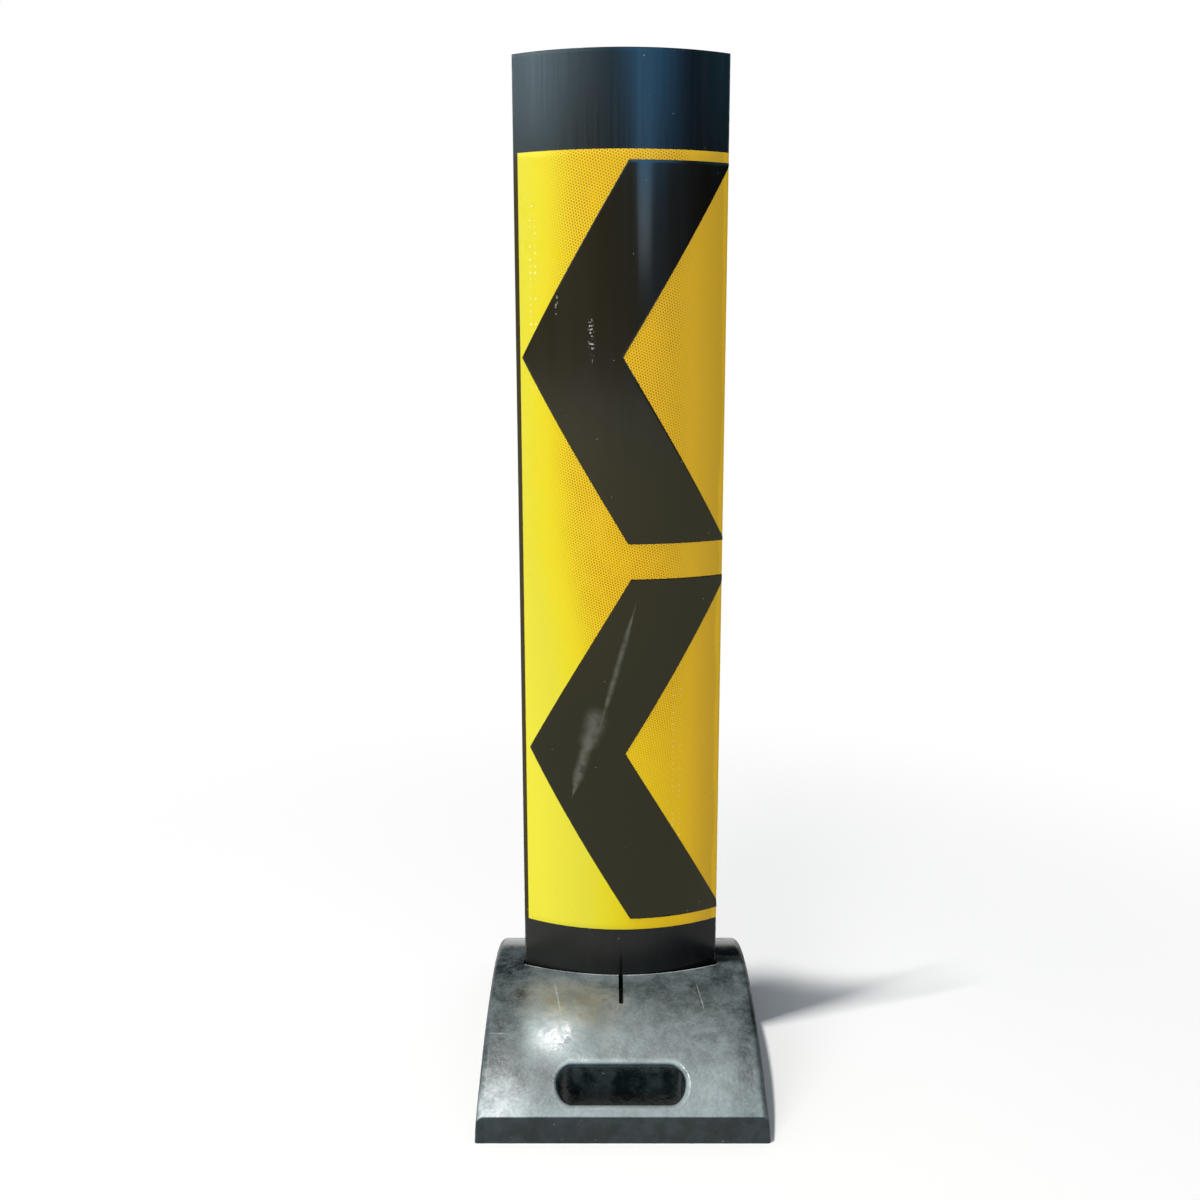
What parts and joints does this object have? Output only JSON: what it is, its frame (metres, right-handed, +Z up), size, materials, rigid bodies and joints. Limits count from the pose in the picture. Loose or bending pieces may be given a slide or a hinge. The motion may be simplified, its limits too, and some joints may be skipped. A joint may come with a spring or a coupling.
{
  "type": "collapsible delineator post",
  "caption": "Springy arc-section blade with yellow reflective sheeting and black chevrons, plugged into an arched rubber base with hand holes; folds when struck and springs back.",
  "frame": {"origin": "on the ground under the middle of the base", "axes": "+Z up, -Y towards the traffic that sees the sheeting, -X the way the chevrons point"},
  "size_m": [0.2882, 0.364, 1.035],
  "materials": {
    "base_rubber": "weathered black recycled rubber, chalky on top",
    "blade_plastic": "glossy extruded black plastic with fine upright streaks",
    "fin_plastic": "plain black plastic plate",
    "sheeting_film": "yellow prismatic retroreflective film",
    "chevron_film": "glossy black film"
  },
  "bodies": {
    "base": {"rubber_base": "base_rubber"},
    "foot": {"blade_root": "blade_plastic", "blade_fold_band": "blade_plastic", "cross_fin": "fin_plastic"},
    "blade": {"blade_panel": "blade_plastic", "front_sheeting": "sheeting_film", "upper_chevron": "chevron_film", "lower_chevron": "chevron_film"}
  },
  "joints": [
    {"name": "blade_lift", "type": "slide", "parent": "base", "child": "foot", "axis": [0, 0, 1], "range_m": [0, 0.062]},
    {"name": "blade_fold", "type": "hinge", "parent": "foot", "child": "blade", "pos_m": [0, 0, 0.118], "axis": [1, 0, 0], "range_deg": [-90, 90], "stiffness_Nm_per_rad": 30, "deforming": ["blade_fold_band"]}
  ]
}
